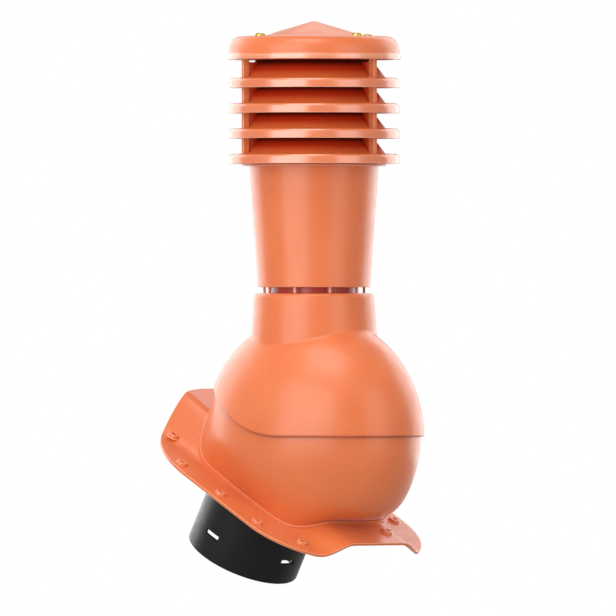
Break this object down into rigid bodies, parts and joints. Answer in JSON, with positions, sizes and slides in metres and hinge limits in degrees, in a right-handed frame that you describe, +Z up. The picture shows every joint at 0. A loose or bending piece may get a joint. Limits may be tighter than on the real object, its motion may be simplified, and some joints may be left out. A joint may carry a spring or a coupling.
{
  "type": "roof vent pipe",
  "caption": "Louvred plastic roof vent pipe with a domed cap, standing in a tilting hood on a flashing base for wave-profile tiles, with a duct spigot underneath.",
  "frame": {"origin": "on the underside of the flashing's flat downhill crest, on the centre line, where the plate seats on the roof tile", "axes": "+Z up along the vertical pipe, -Y downhill, +X across the slope; stored as fitted to a roof of 29 degrees pitch"},
  "size_m": [0.243, 0.2934, 0.6091],
  "materials": {
    "orange_plastic": "smooth moulded, soft sheen",
    "black_plastic": "smooth moulded, satin",
    "yellow_metal": "yellow plated, satin"
  },
  "bodies": {
    "base": {"flashing_base": "orange_plastic", "duct_spigot": "black_plastic"},
    "stack": {"hood": "orange_plastic", "vent_pipe": "orange_plastic", "louvre_ring_1": "orange_plastic", "louvre_ring_2": "orange_plastic", "louvre_ring_3": "orange_plastic", "louvre_ring_4": "orange_plastic", "cap": "orange_plastic", "cap_screw_1": "yellow_metal", "cap_screw_2": "yellow_metal", "cap_screw_3": "yellow_metal", "cap_screw_4": "yellow_metal"}
  },
  "joints": [
    {"name": "pitch_tilt", "type": "hinge", "parent": "base", "child": "stack", "pos_m": [0, 0.06731, 0.1034], "axis": [1, 0, 0], "range_deg": [-10, 14]}
  ]
}
